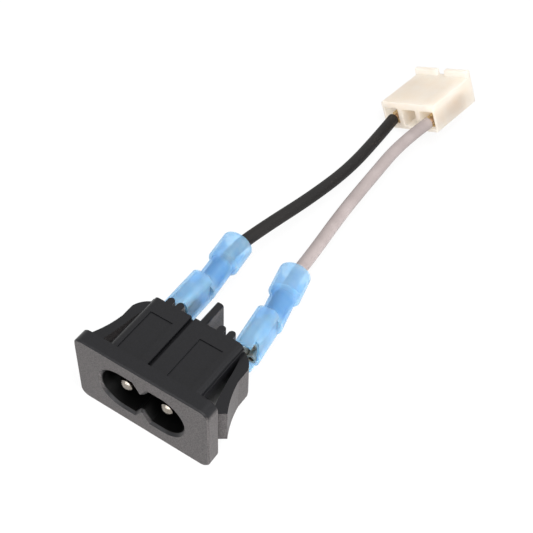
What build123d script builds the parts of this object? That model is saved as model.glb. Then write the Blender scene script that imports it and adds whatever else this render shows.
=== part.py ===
import os
from math import cos, pi, radians, sin, tan

from build123d import *

# A snap-in figure-8 appliance inlet with two insulated leads and a small plug housing.
# Millimetres. Origin in the middle of the flange's back face, which seats on the panel.
# +X is to the right seen from the front, +Y points back through the panel, +Z is up.

# Flange
flange_width = 28.0
flange_height = 16.0
flange_thickness = 2.7
flange_corner = 1.9
flange_edge = 0.3

# Well for the plug, seen from the front
pin_pitch = 8.6
lobe_radius = 4.4
well_lead_in = 0.5
waist_half_height = 2.2
notch_angle = 57
notch_rounding = 0.65

# Body round the well
body_depth = 13.9
side_wall = 0.8
top_wall = 1.2
back_wall = 1.6
body_edge = 1.0
ledge_width = 0.25
ledge_drop = 1.0

# Round contact pins
pin_diameter = 2.4
pin_setback = 1.0
pin_tip_diameter = 2.0
pin_dome = 0.35
rivet_diameter = 1.6
rivet_head_diameter = 2.6
rivet_head_height = 0.5
bore_clearance = 0.03

# Rear pockets that hold the riveted blades
pocket_depth = 2.4
pocket_wall = 0.9
pocket_half_height = 3.5
rib_thickness = 1.5
rib_reach = 6.6
rib_half_height = 3.6
rib_rounding = 0.6
guide_positions = (4.45, 6.5)
guide_width = 1.4
guide_reach = 1.5
guide_root = 0.6
guide_height = 1.6
guide_drop = 0.1

# Marks on the top: a groove and two shallow mould-insert panels, left bare
groove_place = -1.0
groove_width = 0.8
groove_depth = 0.9
panel_depth = 0.2
panel_spans = ((-7.9, -3.1), (2.65, 7.5))
panel_rear_gap = 3.2
panel_front_gap = 0.6

# Snap arms, moulded with the body
arm_half_height = 3.75
arm_thickness = 1.6
arm_stand_off = 2.9
arm_flare = 5.1
arm_flare_length = 6.4
arm_catch_gap = 1.85
arm_catch_slope = 35
arm_tip_gap = 0.35
arm_bow = 0.3
arm_inner_bow = 0.12
arm_shoulder_length = 2.9
arm_shoulder_bow = 0.45
arm_root_length = 1.3

# Riveted blades and the receptacles pushed on them
strip_thickness = 0.8
fold_radius = 0.9
blade_foot = 2.2
blade_height = 4.8
blade_reach = 6.8
blade_tip_taper = 0.6
sheet = 0.4
receptacle_clearance = 0.05
curl_radius = 0.95
receptacle_setback = 1.6
receptacle_length = 5.4
receptacle_neck = 2.6
receptacle_neck_height = 1.8
barrel_outer = 3.7
barrel_length = 6.0
barrel_floor = 0.5
strand_diameter = 1.4
insulation_gap = 0.2

# Nylon sleeves. Each lies along its own blade, turned a little by the pull of its wire.
sleeve_mouth_gap = 1.1
sleeve_thickness = 4.4
sleeve_height = 7.6
sleeve_corner = 1.6
sleeve_wall = 0.5
sleeve_flat_length = 10.1
sleeve_end_wall = 0.7
sleeve_notch_width = 0.8
sleeve_notch_depth = 1.8
sleeve_neck_length = 5.5
sleeve_neck_diameter = 4.9
sleeve_bell_diameter = 6.3
sleeve_bell_length = 6.25
bell_slope_length = 0.7
tube_bend = 5.5
sleeve_offset = 0.75
barrel_offset = 1.4
blade_wall_gap = 0.1
blade_shift = 0.3
blade_straight = 0.3
left_turn = 0.6
right_turn = 6.8

# Leads: wire of 1 square mm, 2.6 mm over its insulation. Each leaves its sleeve straight for the
# lead-out, then bends at four points on the way to the plug.
wire_diameter = 2.6
lead_out = 4.8
bare_at_plug = 4.2
end_gap = 0.25
black_route = (
    (-6.03, 44.67, -0.73),
    (-3.74, 57.70, -2.10),
    (-2.45, 70.72, -3.50),
    (-2.88, 83.75, -4.61),
)
white_route = (
    (5.23, 44.56, -0.72),
    (3.89, 57.24, -1.60),
    (3.47, 69.91, -1.94),
    (3.45, 82.59, -1.54),
)

# Plug housing. It lies rolled on its lower left edge, held so by the stiff leads.
way_pitch = 4.85
way_width = 3.7
way_height = 4.2
way_depth = 11.2
plug_wall = 0.45
plug_floor = 0.65
plug_top = 1.55
plug_back = 3.2
plug_edge = 0.4
plug_roll = -24.6
plug_yaw = -7.6
plug_place = (1.88, 91.55)
wire_drop = 0.6
tab_hole_width = 2.4
tab_hole_height = 1.5
ear_width = 6.1
ear_height = 1.4
ear_length = 1.1

# Contacts in the plug housing
contact_box_width = 3.0
contact_box_height = 3.2
contact_box_start = 5.6
contact_box_gap = 0.4
contact_floor_width = 2.4
contact_floor_start = 1.2
crimp_start = 1.4
crimp_length = 3.0
crimp_width = 2.0

# How far a cut runs past the face that it opens, and how deep a joined piece starts in its neighbour
past = 1.0
sunk = 0.4

half_pitch = pin_pitch / 2
body_width = pin_pitch + 2 * (lobe_radius + side_wall)
body_height = 2 * (lobe_radius + top_wall)
pocket_floor = body_depth - pocket_depth
well_floor = pocket_floor - back_wall
floor_level = -flange_height / 2
blade_place = body_width / 2 - pocket_wall - blade_wall_gap - strip_thickness / 2 - blade_shift
bend_depth = body_depth + blade_straight
mouth_depth = body_depth + sleeve_mouth_gap
barrel_start = receptacle_setback + receptacle_length + receptacle_neck
insulation_start = barrel_length + insulation_gap
plug_width = 2 * way_pitch + way_width + 2 * plug_wall
plug_height = plug_floor + way_height + plug_top
plug_length = way_depth + plug_back
way_level = plug_floor + way_height / 2
wire_level = way_level - wire_drop


def on_front_plane(y):
    """A sketch plane that faces the front, at depth y, with its x to the right and y up."""
    return Plane(origin=(0, y, 0), x_dir=(1, 0, 0), z_dir=(0, -1, 0))


def extrude_back(sketch, start, end):
    """Extrude a sketch drawn seen from the front, from depth start back to depth end."""
    return extrude(on_front_plane(start) * sketch, amount=start - end)


def block(x_span, y_span, z_span):
    """A box given by its span along each axis."""
    spans = (x_span, y_span, z_span)
    middle = [(low + high) / 2 for low, high in spans]
    return Pos(*middle) * Box(*[abs(high - low) for low, high in spans])


def across(middle, width):
    """The span of a width about a middle."""
    return (middle - width / 2, middle + width / 2)


def rod(diameter, start, end):
    """A round bar along +Y between two depths."""
    return extrude_back(Circle(diameter / 2), start, end)


def turned(*points):
    """A body turned round the Y axis, from the radius and depth of each point of its half outline."""
    return revolve(make_face(Polyline(*points, close=True)), Axis.Y)


def dome(diameter, start, height):
    """The rounded end of a turned body, with its tip at depth start."""
    radius = diameter / 2
    ball = (radius ** 2 + height ** 2) / (2 * height)
    cap = Pos(0, start + ball, 0) * Sphere(ball)
    return cap & rod(diameter, start, start + height)


# Outline of the well


def well_outline():
    """The figure-8 outline: a round end at each pin, and a V above and below the waist between them."""
    steep = radians(notch_angle)
    apex = waist_half_height - notch_rounding * (1 / cos(steep) - 1)
    shoulder = (lobe_radius - apex) / tan(steep)
    lobe = CenterArc((half_pitch, 0), lobe_radius, -90, 180)
    above = Polyline((half_pitch, lobe_radius), (shoulder, lobe_radius), (0, apex))
    right = lobe + above + mirror(above, Plane.XZ)
    outline = make_face(right + mirror(right, Plane.YZ))
    tips = outline.vertices().group_by(lambda v: abs(v.X))[0]
    return fillet(tips, notch_rounding)


# Housing


def arm_outline():
    """Right snap arm seen from above: rooted at the rear, flared in front to a sloping catch face."""
    side = body_width / 2
    far = side + arm_stand_off
    catch_width = (arm_catch_gap - arm_tip_gap) / tan(radians(arm_catch_slope))
    tip = (side + arm_flare, arm_catch_gap)
    inner_tip = (tip[0] - catch_width, arm_tip_gap)
    bend = (far, arm_catch_gap + arm_flare_length)
    inner_bend = (far - arm_thickness, bend[1] - arm_thickness / 2)
    shoulder = (far, body_depth - arm_shoulder_length)
    root = (side + ledge_width, body_depth)
    crotch = (root[0], body_depth - arm_root_length)
    anchor = side - pocket_wall / 2
    return make_face(
        SagittaArc(tip, bend, arm_bow)
        + Line(bend, shoulder)
        + SagittaArc(shoulder, root, -arm_shoulder_bow)
        + Polyline(root, (anchor, root[1]), (anchor, crotch[1]), crotch)
        + SagittaArc(crotch, inner_bend, arm_inner_bow)
        + SagittaArc(inner_bend, inner_tip, -arm_inner_bow)
        + Line(inner_tip, tip)
    )


def snap_arm():
    return extrude(Pos(0, 0, -arm_half_height) * arm_outline(), amount=2 * arm_half_height)


def guide_rib(place):
    """Short upright rib at the rear edge of the top wall, with a rounded end."""
    left, right = across(place, guide_width)
    front = body_depth - guide_root
    tip = body_depth + guide_reach
    straight_end = tip - guide_width / 2
    outline = make_face(
        ThreePointArc((left, straight_end), (place, tip), (right, straight_end))
        + Polyline((right, straight_end), (right, front), (left, front), (left, straight_end))
    )
    return extrude(Pos(0, 0, body_height / 2 - guide_drop) * outline, amount=-guide_height)


def housing():
    flange = extrude_back(RectangleRounded(flange_width, flange_height, flange_corner), -flange_thickness, 0)
    flange = chamfer(flange.faces().sort_by(Axis.Y)[0].edges(), flange_edge)
    body = extrude_back(RectangleRounded(body_width, body_height, body_edge), 0, body_depth)
    ledge = block(across(0, body_width + 2 * ledge_width), (0, body_depth),
                  across(0, body_height - 2 * ledge_drop))
    shell = flange + body + ledge

    for side in (-1, 1):
        pocket = (side * rib_thickness / 2, side * (body_width / 2 - pocket_wall))
        shell -= block(pocket, (pocket_floor, body_depth + past), across(0, 2 * pocket_half_height))
    rib = block(across(0, rib_thickness), (pocket_floor, body_depth + rib_reach),
                across(0, 2 * rib_half_height))
    shell += fillet(rib.edges().filter_by(Axis.Y), rib_rounding)

    shell -= extrude_back(well_outline(), -flange_thickness, well_floor)
    mouth = shell.faces().filter_by(Axis.Y).sort_by(Axis.Y)[0].inner_wires()[0].edges()
    shell = chamfer(mouth, well_lead_in)

    for side in (-1, 1):
        bore = rod(rivet_diameter + 2 * bore_clearance, well_floor, pocket_floor)
        shell -= Pos(side * half_pitch, 0, 0) * bore
        for place in guide_positions:
            shell += guide_rib(side * place)

    top = body_height / 2
    shell -= block(across(groove_place, groove_width), (0, body_depth + past),
                   (top - groove_depth, top + past))
    for panel_span in panel_spans:
        shell -= block(panel_span, (panel_front_gap, body_depth - panel_rear_gap),
                       (top - panel_depth, top + past))

    arm = snap_arm()
    return shell + arm + mirror(arm, Plane.YZ)


# Contact pins and blades


def contact_pin():
    """Turned pin: domed tip, a body that stands on the well floor, a tail riveted over the blade."""
    start = pin_setback - flange_thickness
    body_start = start + pin_dome
    edge = pin_dome / 2
    radius = pin_diameter / 2
    tail = rivet_diameter / 2
    head = rivet_head_diameter / 2
    tail_end = pocket_floor + strip_thickness
    head_end = tail_end + rivet_head_height
    body = turned((0, body_start), (pin_tip_diameter / 2, body_start), (radius, body_start + edge),
                  (radius, well_floor), (tail, well_floor), (tail, tail_end),
                  (head, tail_end), (head, head_end), (0, head_end))
    return body + dome(pin_tip_diameter, start, pin_dome)


def blade(side, place, turn):
    """Folded strip: a foot riveted flat on the pocket floor, and a blade that turns back from it."""
    foot_depth = pocket_floor + strip_thickness / 2
    foot_start = (side * (half_pitch - blade_foot), foot_depth)
    corner = (place, foot_depth)
    bend = (place, bend_depth)
    along = (sin(radians(-turn)), cos(radians(turn)))
    length = mouth_depth - bend_depth + blade_reach
    end = (bend[0] + along[0] * length, bend[1] + along[1] * length)
    line = FilletPolyline(foot_start, corner, bend, end, radius=fold_radius)
    strip = extrude(Pos(0, 0, -blade_height / 2) * trace(line, strip_thickness), amount=blade_height)
    tip = strip.faces().sort_by(Axis.Y)[-1].edges()
    strip = chamfer(tip.filter_by(lambda edge: edge.length < blade_height / 2), blade_tip_taper)
    rivet_hole = Pos(side * half_pitch, 0, 0) * rod(rivet_diameter, pocket_floor - past, body_depth)
    return strip - rivet_hole


# Receptacles, sleeves and strands, each modelled along its own +Y from the sleeve's mouth


def tube_frame():
    """Where the barrel starts. The tube of a sleeve and all in it leans a little from the flat part."""
    return Pos(barrel_offset, barrel_start, 0) * Rot(Z=tube_bend)


def receptacle():
    """Rolled female terminal: a flat back, two curls that press on the blade, and a round barrel."""
    gap = strip_thickness / 2 + receptacle_clearance
    back = gap + sheet
    half = blade_height / 2 + receptacle_clearance + sheet
    curl_x = gap + curl_radius
    curl_y = half - curl_radius
    section = Pos(-gap - sheet / 2, 0) * Rectangle(sheet, 2 * half)
    for side in (-1, 1):
        wall_length = curl_x + back
        section += Pos(curl_x - wall_length / 2, side * (half - sheet / 2)) * Rectangle(wall_length, sheet)
        ring = Circle(curl_radius) - Circle(curl_radius - sheet)
        open_quarter = Pos(-curl_radius / 2, side * curl_radius / 2) * Rectangle(curl_radius, curl_radius)
        section += Pos(curl_x, side * curl_y) * (ring - open_quarter)
    section = fillet(section.vertices().sort_by(Axis.X)[:2], sheet)
    grip_end = receptacle_setback + receptacle_length
    grip = extrude_back(section, receptacle_setback, grip_end)

    barrel_side = (tube_frame() * Pos(-barrel_outer / 3, sunk, 0)).position
    barrel_middle = (tube_frame() * Pos(0, sunk, 0)).position
    neck_outline = make_face(Polyline((-back, grip_end), (-gap, grip_end), (barrel_middle.X, barrel_middle.Y),
                                      (barrel_side.X, barrel_side.Y), close=True))
    neck = extrude(Pos(0, 0, -receptacle_neck_height / 2) * neck_outline, amount=receptacle_neck_height)
    barrel = rod(barrel_outer, 0, barrel_length) - rod(strand_diameter, barrel_floor, barrel_length)
    return grip + neck + tube_frame() * barrel


def sleeve():
    """Nylon sleeve: a flat mouth round the receptacle, a crimped neck and a bell round the wire."""
    outside = RectangleRounded(sleeve_thickness, sleeve_height, sleeve_corner)
    flat = extrude_back(outside, 0, sleeve_flat_length)
    flat = chamfer(flat.faces().sort_by(Axis.Y)[-1].edges(), sleeve_end_wall)
    cavity = RectangleRounded(sleeve_thickness - 2 * sleeve_wall, sleeve_height - 2 * sleeve_wall,
                              sleeve_corner - sleeve_wall)
    cavity = extrude_back(cavity, -past, sleeve_flat_length - sleeve_end_wall)

    bell_start = sleeve_flat_length + sleeve_neck_length - barrel_start
    end = bell_start + sleeve_bell_length
    neck, bell = sleeve_neck_diameter / 2, sleeve_bell_diameter / 2
    slope_end = bell_start + bell_slope_length
    tube = turned((0, -past), (neck, -past), (neck, bell_start), (bell, slope_end), (bell, end), (0, end))
    bore = rod(barrel_outer + 2 * bore_clearance, -sunk, end)
    bore += rod(sleeve_bell_diameter - 2 * sleeve_wall, slope_end, end + past)
    side = sleeve_offset + sleeve_thickness / 2
    notch = block((side - sleeve_notch_width, side + past), (-past, sleeve_notch_depth),
                  across(0, 2 * sleeve_height))
    offset = Pos(sleeve_offset, 0, 0)
    return offset * flat + tube_frame() * tube - offset * cavity - tube_frame() * bore - notch


# Leads


def tube_path(points):
    """Straight runs joined by arcs, each as large as its two runs allow."""
    radii = []
    for before, here, after in zip(points, points[1:], points[2:]):
        run_in = Vector(*here) - Vector(*before)
        run_out = Vector(*after) - Vector(*here)
        half_turn = radians(run_in.get_angle(run_out)) / 2
        radii.append(0.45 * min(run_in.length, run_out.length) / tan(half_turn))
    return FilletPolyline(*points, radius=radii), radii


def wire(name, points):
    path, radii = tube_path(points)
    start = Plane(origin=path @ 0, z_dir=path % 0)
    tube = sweep(start * Circle(wire_diameter / 2), path=path)
    section = pi * (wire_diameter / 2) ** 2
    print(name, "length", round(path.length, 2), "smallest radius", round(min(radii), 1),
          "volume over section times length", round(tube.volume / (section * path.length), 4))
    for point in points:
        print("   ", "(%.2f, %.2f, %.2f)," % tuple(point))
    return tube


def strands(start, end):
    """Stripped copper end: a short round bar from one point to another."""
    plane = Plane(origin=start, z_dir=end - start)
    return extrude(plane * Circle(strand_diameter / 2 - bore_clearance), amount=(end - start).length)


# Plug housing and contacts, modelled with the wire side at y = 0 and the base at z = 0


def plug_location():
    low = floor_level + plug_width / 2 * sin(radians(-plug_roll))
    return Pos(plug_place[0], plug_place[1], low) * Rot(Z=plug_yaw) * Rot(Y=plug_roll)


def plug_housing():
    shell = block(across(0, plug_width), (0, plug_length), (0, plug_height))
    shell = fillet(shell.edges().filter_by(Axis.Y), plug_edge)
    for side in (-1, 1):
        edge = side * plug_width / 2
        shell += block((edge, edge - side * ear_width), (plug_length - ear_length, plug_length),
                       (plug_height / 2, plug_height + ear_height))
    for way in (-1, 0, 1):
        middle = way * way_pitch
        shell -= block(across(middle, way_width), (-past, way_depth), across(way_level, way_height))
        shell -= block(across(middle, tab_hole_width), (way_depth - past, plug_length + past),
                       across(way_level, tab_hole_height))
    return shell


def plug_contact(side):
    """Stamped contact: a hollow box for the mating blade, a floor strip and a crimp round the strands."""
    middle = side * way_pitch
    base = plug_floor
    box_end = way_depth - contact_box_gap
    box_top = base + contact_box_height
    contact = block(across(middle, contact_box_width), (contact_box_start, box_end), (base, box_top))
    contact -= block(across(middle, contact_box_width - 2 * sheet),
                     (contact_box_start - past, box_end + past), (base + sheet, box_top - sheet))
    contact += block(across(middle, contact_floor_width), (contact_floor_start, contact_box_start + sunk),
                     (base, base + sheet))
    crimp = block(across(middle, crimp_width), (crimp_start, crimp_start + crimp_length),
                  (base, wire_level + crimp_width / 2))
    crimp = fillet(crimp.edges().filter_by(Axis.Y).sort_by(Axis.Z)[-2:], sheet)
    contact += crimp
    return contact - Pos(middle, 0, wire_level) * rod(strand_diameter, 0, contact_box_start)


# Assembly

plug = plug_location()
parts = {
    "housing": housing(),
    "plug_housing": plug * plug_housing(),
}
sides = (
    ("left", "black", -1, left_turn, black_route),
    ("right", "white", 1, right_turn, white_route),
)
for name, colour, side, turn, route in sides:
    place = blade_shift + side * blade_place
    parts["contact_pin_" + name] = Pos(side * half_pitch, 0, 0) * contact_pin()
    parts["blade_" + name] = blade(side, place, turn)
    lay = Pos(place, bend_depth, 0) * Rot(Z=turn) * Pos(0, mouth_depth - bend_depth, 0)
    parts["receptacle_" + name] = lay * receptacle()
    parts["sleeve_" + name] = lay * sleeve()

    core = lay * tube_frame()
    barrel_inside, barrel_out, leaves, straight_end = [
        (core * Pos(0, depth, 0)).position
        for depth in (barrel_floor, insulation_start - end_gap, insulation_start, insulation_start + lead_out)
    ]
    parts["strands_" + name + "_socket"] = strands(barrel_inside, barrel_out)
    inlet = plug * Pos(side * way_pitch, 0, wire_level)
    enters, strands_begin, strands_end = [
        (inlet * Pos(0, depth, 0)).position for depth in (0, end_gap, bare_at_plug)
    ]
    parts["strands_" + name + "_plug"] = strands(strands_begin, strands_end)
    parts["plug_contact_" + name] = plug * plug_contact(side)
    parts["wire_" + colour] = wire("wire_" + colour, [leaves, straight_end, *route, enters])

os.makedirs("parts", exist_ok=True)
for name, solid in parts.items():
    export_step(solid, "parts/" + name + ".step")
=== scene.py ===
# Looks of a snap-in figure-8 appliance inlet with two insulated leads and an ivory plug housing.
# Metres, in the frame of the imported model: +X right, +Y back through the panel, +Z up.
import math

import bpy
from mathutils import Matrix, Vector


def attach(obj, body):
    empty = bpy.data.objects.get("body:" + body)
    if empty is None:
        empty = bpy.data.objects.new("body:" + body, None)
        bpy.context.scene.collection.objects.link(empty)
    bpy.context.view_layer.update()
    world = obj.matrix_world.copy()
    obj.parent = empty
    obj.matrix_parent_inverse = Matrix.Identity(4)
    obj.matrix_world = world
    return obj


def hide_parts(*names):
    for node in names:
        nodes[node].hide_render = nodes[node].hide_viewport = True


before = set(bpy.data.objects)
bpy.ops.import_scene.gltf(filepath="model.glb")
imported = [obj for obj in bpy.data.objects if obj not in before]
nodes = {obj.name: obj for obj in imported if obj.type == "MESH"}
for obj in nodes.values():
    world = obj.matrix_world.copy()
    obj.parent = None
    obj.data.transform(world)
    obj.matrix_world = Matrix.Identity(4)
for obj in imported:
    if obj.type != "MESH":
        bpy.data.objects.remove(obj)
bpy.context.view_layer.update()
scene = bpy.context.scene

MM = 0.001


# Camera, fitted to the photograph: angles in degrees, place in metres, lens in millimetres

VIEW_AZIMUTH, VIEW_ELEVATION, VIEW_ROLL = 31.54, 48.30, 2.72
VIEW_PLACE = Vector((0.06998, -0.07841, 0.14968))
VIEW_LENS = 71.8
# Near and far limits of what the camera sees, in metres
VIEW_LIMITS = (0.005, 10)


def place_camera():
    """Stands the camera at its place, looking back along its azimuth and elevation."""
    azimuth, elevation = math.radians(VIEW_AZIMUTH), math.radians(VIEW_ELEVATION)
    back = Vector((math.sin(azimuth) * math.cos(elevation),
                   -math.cos(azimuth) * math.cos(elevation), math.sin(elevation)))
    right = Vector((0, 0, 1)).cross(back).normalized()
    level = Matrix((right, back.cross(right), back)).transposed()
    turned = level @ Matrix.Rotation(math.radians(VIEW_ROLL), 3, "Z")
    data = bpy.data.cameras.new("camera")
    data.lens = VIEW_LENS
    data.clip_start, data.clip_end = VIEW_LIMITS
    camera = bpy.data.objects.new("camera", data)
    camera.matrix_world = Matrix.Translation(VIEW_PLACE) @ turned.to_4x4()
    scene.collection.objects.link(camera)
    scene.camera = camera


place_camera()


# Leads: wire of 1 square mm, 2.6 mm over its PVC, each on the route of its solid, in mm

BLACK_ROUTE = (
    (-6.87, 30.78, 0.00), (-7.38, 35.55, 0.00), (-6.03, 44.67, -0.73), (-3.74, 57.70, -2.10),
    (-2.45, 70.72, -3.50), (-2.88, 83.75, -4.61), (-3.38, 92.25, -5.09),
)
WHITE_ROUTE = (
    (6.94, 30.75, 0.00), (5.92, 35.44, 0.00), (5.23, 44.56, -0.72), (3.89, 57.24, -1.60),
    (3.47, 69.91, -1.94), (3.45, 82.59, -1.54), (5.36, 91.09, -1.05),
)
WIRE_DIAMETER = 2.6 * MM


def lay_wire(name, route):
    """A wire as a smooth curve through its route, attached to the root body."""
    curve = bpy.data.curves.new(name, "CURVE")
    curve.dimensions = "3D"
    # The bevel is 1 m deep and each point's radius scales it, so the curve's box fits the wire
    curve.bevel_depth = 1.0
    curve.bevel_resolution = 7
    curve.resolution_u = 10
    curve.use_fill_caps = True
    spline = curve.splines.new("NURBS")
    spline.points.add(len(route) - 1)
    for point, (x, y, z) in zip(spline.points, route):
        point.co = (x * MM, y * MM, z * MM, 1)
        point.radius = WIRE_DIAMETER / 2
    spline.order_u = 3
    spline.use_endpoint_u = True
    wire = bpy.data.objects.new(name, curve)
    scene.collection.objects.link(wire)
    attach(wire, "root")
    return wire


black_lead = lay_wire(
    "lead_black", BLACK_ROUTE)
white_lead = lay_wire(
    "lead_white", WHITE_ROUTE)
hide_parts("wire_black")
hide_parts("wire_white")


# Materials

NYLON_IOR = 1.53
PVC_IOR = 1.53
# Zones of the housing painted near black as painted shade, each a span in mm along X, Y and Z:
# the deep well, and the body's flanks in the gaps by the arms; their faces also stay smooth
WELL_SHADE_ZONE = ((-9.0, 9.0), (-2.3, 9.95), (-4.5, 4.5))
BODY_SHADE_ZONE = ((-9.8, 9.8), (0.1, 13.95), (-5.65, 5.65))
# The middle of the sleeves' crimped necks along Y, and the distances from it between which
# their painted deeper blue, painted shade of the metal barrel inside, fades out
NECK_MIDDLE = 27.9 * MM
NECK_NEAR, NECK_FAR = 1.8 * MM, 3.4 * MM


def shade(code):
    """An sRGB hex colour as the linear colour that a shader takes."""
    values = [int(code[i:i + 2], 16) / 255 for i in (1, 3, 5)]
    return [v / 12.92 if v <= 0.04045 else ((v + 0.055) / 1.055) ** 2.4 for v in values] + [1.0]


def add(tree, kind, inputs=None, stops=(), **settings):
    """Adds a node with its settings; an input is a value or a socket to link, a ramp's stop a
    position and a hex colour."""
    made = tree.nodes.new(kind)
    for name, value in settings.items():
        setattr(made, name, value)
    for key, value in (inputs or {}).items():
        if isinstance(value, bpy.types.NodeSocket):
            tree.links.new(value, made.inputs[key])
        else:
            made.inputs[key].default_value = value
    if stops:
        for element, (position, code) in zip(made.color_ramp.elements, stops):
            element.position, element.color = position, shade(code)
    return made


def start_material(name):
    """A new empty material, its node tree, and the place on the object in metres."""
    material = bpy.data.materials.new(name)
    material.use_nodes = True
    tree = material.node_tree
    tree.nodes.clear()
    place = add(tree, "ShaderNodeTexCoord").outputs["Object"]
    return material, tree, place


def outside_zone(tree, place, zone):
    """A factor of 1 outside the zone and 0 inside it."""
    middle = [(low + high) / 2 * MM for low, high in zone]
    scale = [2 / ((high - low) * MM) for low, high in zone]
    off = add(tree, "ShaderNodeVectorMath", {0: place, 1: middle}, operation="SUBTRACT")
    scaled = add(tree, "ShaderNodeVectorMath", {0: off.outputs[0], 1: scale}, operation="MULTIPLY")
    reach = add(tree, "ShaderNodeVectorMath", {0: scaled.outputs[0]}, operation="ABSOLUTE")
    axes = add(tree, "ShaderNodeSeparateXYZ", {"Vector": reach.outputs[0]}).outputs
    wide = add(tree, "ShaderNodeMath", {0: axes["X"], 1: axes["Y"]}, operation="MAXIMUM")
    far = add(tree, "ShaderNodeMath", {0: wide.outputs[0], 1: axes["Z"]}, operation="MAXIMUM")
    outside = add(tree, "ShaderNodeMath", {0: far.outputs[0], 1: 1.0}, operation="GREATER_THAN")
    return outside.outputs[0]


def moulded_housing():
    """Glass-filled nylon, injection moulded, with a speckled grain: its upright faces, the
    flange's front, the arms' flanks and others, painted grey as painted sheen of the light from
    the front and sides; a smoother near black on top and under; and near black painted shade in
    the well and on the body's flanks in the gaps by the arms.

    The mould's spark-eroded grain is finer than the render shows, so it is drawn at 0.22 mm.
    """
    material, tree, place = start_material("glass_filled_nylon_black")
    grain = add(tree, "ShaderNodeTexNoise", {
        "Vector": place, "Scale": 1 / (0.22 * MM), "Detail": 3.0, "Roughness": 0.6}).outputs["Fac"]
    # Painted sheen: the lighter grey that upright faces get for the light they catch from the
    # front and sides
    grey = add(tree, "ShaderNodeValToRGB", {"Fac": grain},
               stops=((0.32, "#282626"), (0.68, "#524E4E"))).outputs["Color"]
    dark = add(tree, "ShaderNodeValToRGB", {"Fac": grain},
               stops=((0.3, "#0A0A0C"), (0.7, "#131316"))).outputs["Color"]

    facing = add(tree, "ShaderNodeTexCoord").outputs["Normal"]
    rise = add(tree, "ShaderNodeSeparateXYZ", {"Vector": facing}).outputs["Z"]
    lying = add(tree, "ShaderNodeMath", {0: rise}, operation="ABSOLUTE").outputs[0]
    # Painted sheen with grain: 1 on upright faces, fading to 0 on faces on top and under
    painted_sheen_and_grain = add(tree, "ShaderNodeMapRange", {
        "Value": lying, "From Min": 0.5, "From Max": 0.2}).outputs["Result"]
    # Painted shade: in the well and on the body's flanks by the arms the faces get no painted
    # sheen and stay near black
    outside_well_shade = outside_zone(tree, place, WELL_SHADE_ZONE)
    for off_zone in (outside_well_shade, outside_zone(tree, place, BODY_SHADE_ZONE)):
        painted_sheen_and_grain = add(tree, "ShaderNodeMath", {0: painted_sheen_and_grain, 1: off_zone},
                      operation="MULTIPLY").outputs[0]

    skin = add(tree, "ShaderNodeMix", {"Factor": painted_sheen_and_grain, 6: dark, 7: grey},
               data_type="RGBA").outputs[2]
    # Painted shade: the well is painted near black for its deep recess
    colour = add(tree, "ShaderNodeMix", {"Factor": outside_well_shade, 6: shade("#050505"), 7: skin},
                 data_type="RGBA").outputs[2]
    rough = add(tree, "ShaderNodeMapRange", {
        "Value": painted_sheen_and_grain, "To Min": 0.34, "To Max": 0.48}).outputs["Result"]
    bump = add(tree, "ShaderNodeBump", {
        "Height": grain, "Strength": 0.5, "Distance": 0.03 * MM}).outputs["Normal"]
    body = add(tree, "ShaderNodeBsdfPrincipled", {
        "Base Color": colour, "Roughness": rough, "IOR": NYLON_IOR, "Specular IOR Level": 0.25,
        "Normal": bump})
    add(tree, "ShaderNodeOutputMaterial", {"Surface": body.outputs["BSDF"]})
    return material


def plated_metal(name, dark, light, roughness, streak_mm):
    """Plated or tinned metal: a tone that drifts a little, in faint streaks from its drawing.

    The real streaks are some hundredths of a millimetre wide and are drawn coarser, to show.
    """
    material, tree, place = start_material(name)
    drawn_out = add(tree, "ShaderNodeMapping", {"Vector": place, "Scale": (1.0, 0.12, 1.0)})
    streaks = add(tree, "ShaderNodeTexNoise", {
        "Vector": drawn_out.outputs["Vector"], "Scale": 1 / (streak_mm * MM),
        "Detail": 3.0}).outputs["Fac"]
    colour = add(tree, "ShaderNodeValToRGB", {"Fac": streaks},
                 stops=((0.3, dark), (0.7, light))).outputs["Color"]
    rough = add(tree, "ShaderNodeMapRange", {
        "Value": streaks, "From Min": 0.3, "From Max": 0.7,
        "To Min": roughness + 0.06, "To Max": roughness - 0.04}).outputs["Result"]
    bump = add(tree, "ShaderNodeBump", {
        "Height": streaks, "Strength": 0.12, "Distance": 0.01 * MM}).outputs["Normal"]
    body = add(tree, "ShaderNodeBsdfPrincipled", {
        "Base Color": colour, "Metallic": 1.0, "Roughness": rough, "Normal": bump})
    add(tree, "ShaderNodeOutputMaterial", {"Surface": body.outputs["BSDF"]})
    return material


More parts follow.
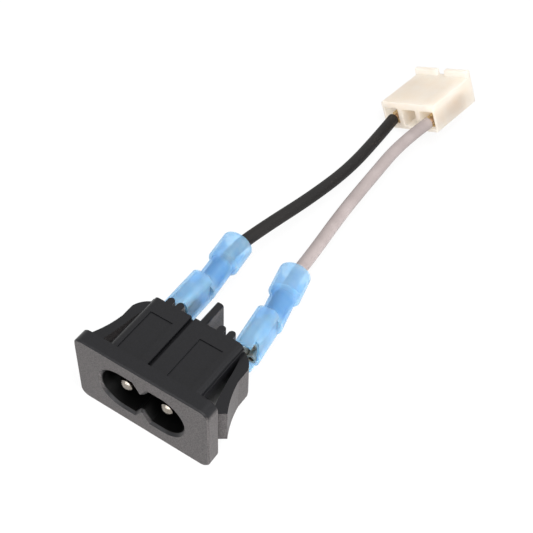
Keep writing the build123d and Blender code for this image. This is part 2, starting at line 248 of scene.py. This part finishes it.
def sleeve_nylon():
    """Blue tinted nylon, moulded thin: milky, so that the terminal and the wire inside show as
    darker shapes, and painted a deeper blue at the neck as painted shade of the metal barrel
    inside.

    Its tone drifts over 3 mm, and its skin is uneven by a fine grain of 0.3 mm.
    """
    material, tree, place = start_material("translucent_nylon_blue")
    cloud = add(tree, "ShaderNodeTexNoise", {
        "Vector": place, "Scale": 1 / (3 * MM), "Detail": 2.0}).outputs["Fac"]
    grain = add(tree, "ShaderNodeTexNoise", {
        "Vector": place, "Scale": 1 / (0.3 * MM), "Detail": 2.0}).outputs["Fac"]
    colour = add(tree, "ShaderNodeValToRGB", {"Fac": cloud},
                 stops=((0.3, "#A1CAEB"), (0.7, "#BEDEF2"))).outputs["Color"]

    # Painted shade: a deeper blue at the neck, for the metal barrel seen through the wall there
    along = add(tree, "ShaderNodeSeparateXYZ", {"Vector": place}).outputs["Y"]
    from_neck = add(tree, "ShaderNodeMath", {0: along, 1: NECK_MIDDLE}, operation="SUBTRACT")
    distance = add(tree, "ShaderNodeMath", {0: from_neck.outputs[0]}, operation="ABSOLUTE")
    neck = add(tree, "ShaderNodeMapRange", {
        "Value": distance.outputs[0], "From Min": NECK_FAR, "From Max": NECK_NEAR,
        "To Max": 0.6}).outputs["Result"]
    tone = add(tree, "ShaderNodeMix", {"Factor": neck, 6: colour, 7: shade("#68ABE6")},
               data_type="RGBA").outputs[2]

    bump = add(tree, "ShaderNodeBump", {
        "Height": grain, "Strength": 0.15, "Distance": 0.02 * MM}).outputs["Normal"]
    body = add(tree, "ShaderNodeBsdfPrincipled", {
        "Base Color": tone, "Roughness": 0.2, "IOR": NYLON_IOR, "Subsurface Weight": 0.8,
        "Subsurface Radius": (0.6, 0.9, 1.0), "Subsurface Scale": 1 * MM, "Normal": bump})
    clear = add(tree, "ShaderNodeBsdfTransparent", {"Color": shade("#D1E7F8")})
    film = add(tree, "ShaderNodeMixShader", {
        0: 0.28, 1: clear.outputs["BSDF"], 2: body.outputs["BSDF"]})
    add(tree, "ShaderNodeOutputMaterial", {"Surface": film.outputs[0]})
    return material


def extruded_pvc(name, dark, light, roughness):
    """Extruded PVC insulation: smooth, its tone drifting over 5 mm, with fine lines along it.

    The lines of the extrusion die are drawn at 0.3 mm so that they show.
    """
    material, tree, place = start_material(name)
    cloud = add(tree, "ShaderNodeTexNoise", {
        "Vector": place, "Scale": 1 / (5 * MM), "Detail": 3.0}).outputs["Fac"]
    drawn_out = add(tree, "ShaderNodeMapping", {"Vector": place, "Scale": (1.0, 0.05, 1.0)})
    lines = add(tree, "ShaderNodeTexNoise", {
        "Vector": drawn_out.outputs["Vector"], "Scale": 1 / (0.3 * MM),
        "Detail": 2.0}).outputs["Fac"]
    colour = add(tree, "ShaderNodeValToRGB", {"Fac": cloud},
                 stops=((0.3, dark), (0.7, light))).outputs["Color"]
    bump = add(tree, "ShaderNodeBump", {
        "Height": lines, "Strength": 0.2, "Distance": 0.01 * MM}).outputs["Normal"]
    body = add(tree, "ShaderNodeBsdfPrincipled", {
        "Base Color": colour, "Roughness": roughness, "IOR": PVC_IOR,
        "Specular IOR Level": 0.32, "Normal": bump})
    add(tree, "ShaderNodeOutputMaterial", {"Surface": body.outputs["BSDF"]})
    return material


def plug_nylon():
    """Uncoloured nylon, moulded: warm ivory and soft at its edges, because light bleeds through
    its thin walls, so that the ways stay light inside.

    Its tone drifts over 4 mm, and its skin has a fine grain of 0.25 mm.
    """
    material, tree, place = start_material("natural_nylon_ivory")
    cloud = add(tree, "ShaderNodeTexNoise", {
        "Vector": place, "Scale": 1 / (4 * MM), "Detail": 2.0}).outputs["Fac"]
    grain = add(tree, "ShaderNodeTexNoise", {
        "Vector": place, "Scale": 1 / (0.25 * MM), "Detail": 2.0}).outputs["Fac"]
    colour = add(tree, "ShaderNodeValToRGB", {"Fac": cloud},
                 stops=((0.3, "#F7EFE4"), (0.7, "#FAF6EF"))).outputs["Color"]
    bump = add(tree, "ShaderNodeBump", {
        "Height": grain, "Strength": 0.15, "Distance": 0.02 * MM}).outputs["Normal"]
    body = add(tree, "ShaderNodeBsdfPrincipled", {
        "Base Color": colour, "Roughness": 0.5, "IOR": NYLON_IOR, "Subsurface Weight": 0.9,
        "Subsurface Radius": (1.0, 0.95, 0.88), "Subsurface Scale": 4 * MM, "Normal": bump})
    through = add(tree, "ShaderNodeBsdfTranslucent", {"Color": colour})
    wall = add(tree, "ShaderNodeMixShader", {
        0: 0.55, 1: body.outputs["BSDF"], 2: through.outputs["BSDF"]})
    add(tree, "ShaderNodeOutputMaterial", {"Surface": wall.outputs[0]})
    return material


FINISHES = (
    (moulded_housing(), ("housing",)),
    # Turned pins under bright nickel
    (plated_metal("nickel_plated_brass", "#7D766F", "#9C958C", 0.22, 0.25),
     ("contact_pin_left", "contact_pin_right")),
    # Rolled and folded strip, its tin dull and grey
    (plated_metal("tinned_brass", "#A9A69C", "#C6C3BA", 0.44, 0.2),
     ("blade_left", "blade_right", "receptacle_left", "receptacle_right")),
    # Bare strip, yellow where it glints inside the plug's ways
    (plated_metal("stamped_brass", "#C2A574", "#DCC59A", 0.32, 0.2),
     ("plug_contact_left", "plug_contact_right")),
    # Stripped wire ends, copper that shows warm through thin tin
    (plated_metal("tinned_copper", "#A98E78", "#C9AF98", 0.4, 0.12),
     ("strands_left_socket", "strands_right_socket", "strands_left_plug", "strands_right_plug")),
    (sleeve_nylon(), ("sleeve_left", "sleeve_right")),
    (plug_nylon(), ("plug_housing",)),
)
for finish, names in FINISHES:
    for name in names:
        for material_slot in nodes[name].material_slots:
            material_slot.material = finish
black_lead.data.materials.append(extruded_pvc("pvc_insulation_black", "#080605", "#110D0C", 0.66))
white_lead.data.materials.append(extruded_pvc("pvc_insulation_white", "#958A88", "#A69B99", 0.48))


# Floor, background and lights

# Height of the floor that both housings stand on, and half of its side in metres
FLOOR = -8.0 * MM
FLOOR_HALF = 1.5
# Distances in metres from the flange between which the floor's shadow fades to pure white, so
# that it stays faint by the object and the floor has no visible edge
SHADOW_NEAR, SHADOW_FAR = 0.25, 0.5


def ground_seen(tree):
    """A factor of 1 where the camera, a reflection or a ray through glass sees the ground."""
    path = add(tree, "ShaderNodeLightPath").outputs
    glossy = add(tree, "ShaderNodeMath", {0: path["Is Camera Ray"], 1: path["Is Glossy Ray"]},
                 operation="MAXIMUM")
    seen = add(tree, "ShaderNodeMath", {0: glossy.outputs[0], 1: path["Is Transmission Ray"]},
               operation="MAXIMUM")
    return seen.outputs[0]


def lay_floor():
    """A matt white floor, shown as the white ground with a faint shadow where it is seen."""
    mesh = bpy.data.meshes.new("floor")
    corners = [(x * FLOOR_HALF, y * FLOOR_HALF, FLOOR)
               for x, y in ((-1, -1), (1, -1), (1, 1), (-1, 1))]
    mesh.from_pydata(corners, [], [(0, 1, 2, 3)])
    floor = bpy.data.objects.new("floor", mesh)
    scene.collection.objects.link(floor)
    material, tree, place = start_material("white_ground")
    matt = add(tree, "ShaderNodeBsdfDiffuse", {"Color": shade("#F2F2F2")})
    glow = add(tree, "ShaderNodeEmission", {"Color": shade("#FFFFFF"), "Strength": 1.0})
    distance = add(tree, "ShaderNodeVectorMath", {0: place}, operation="LENGTH")
    whiteness = add(tree, "ShaderNodeMapRange", {
        "Value": distance.outputs["Value"], "From Min": SHADOW_NEAR, "From Max": SHADOW_FAR,
        "To Min": 0.9, "To Max": 1.0})
    share = add(tree, "ShaderNodeMath", {0: ground_seen(tree), 1: whiteness.outputs["Result"]},
                operation="MULTIPLY")
    ground = add(tree, "ShaderNodeMixShader", {
        0: share.outputs[0], 1: matt.outputs["BSDF"], 2: glow.outputs["Emission"]})
    add(tree, "ShaderNodeOutputMaterial", {"Surface": ground.outputs[0]})
    floor.data.materials.append(material)


def light_world():
    """Dim even surroundings to light the object, shown white where they are seen."""
    world = bpy.data.worlds.new("surroundings")
    world.use_nodes = True
    tree = world.node_tree
    tree.nodes.clear()
    dim = add(tree, "ShaderNodeBackground", {"Color": shade("#FFFFFF"), "Strength": 0.52})
    white = add(tree, "ShaderNodeBackground", {"Color": shade("#FFFFFF"), "Strength": 1.0})
    ground = add(tree, "ShaderNodeMixShader", {
        0: ground_seen(tree), 1: dim.outputs[0], 2: white.outputs[0]})
    add(tree, "ShaderNodeOutputWorld", {"Surface": ground.outputs[0]})
    scene.world = world


def add_softbox(name, place, aim, size, power, spread=180):
    """A softbox: places and size in metres, power in watts, spread of its light in degrees."""
    data = bpy.data.lights.new(name, "AREA")
    data.shape = "RECTANGLE"
    data.size, data.size_y = size
    data.energy = power
    data.spread = math.radians(spread)
    lamp = bpy.data.objects.new(name, data)
    lamp.location = place
    lamp.rotation_euler = (Vector(aim) - Vector(place)).to_track_quat("-Z", "Y").to_euler()
    scene.collection.objects.link(lamp)


lay_floor()
light_world()
# The middle of the object, which the two large softboxes face
MIDDLE = (0.0, 0.05, 0.0)
add_softbox("key_light", (0.2, -0.1, 0.6), MIDDLE, (0.4, 0.4), 4.35)
add_softbox("front_light", (0.0, -0.6, 0.14), MIDDLE, (0.6, 0.25), 2.05)
# A narrow light from the right, aimed before the flange so that the sleeves stay out of it
add_softbox("right_light", (0.38, -0.08, 0.1), (0.0, -0.045, 0.0), (0.1, 0.1), 0.1, spread=30)
scene.view_settings.view_transform = "Standard"
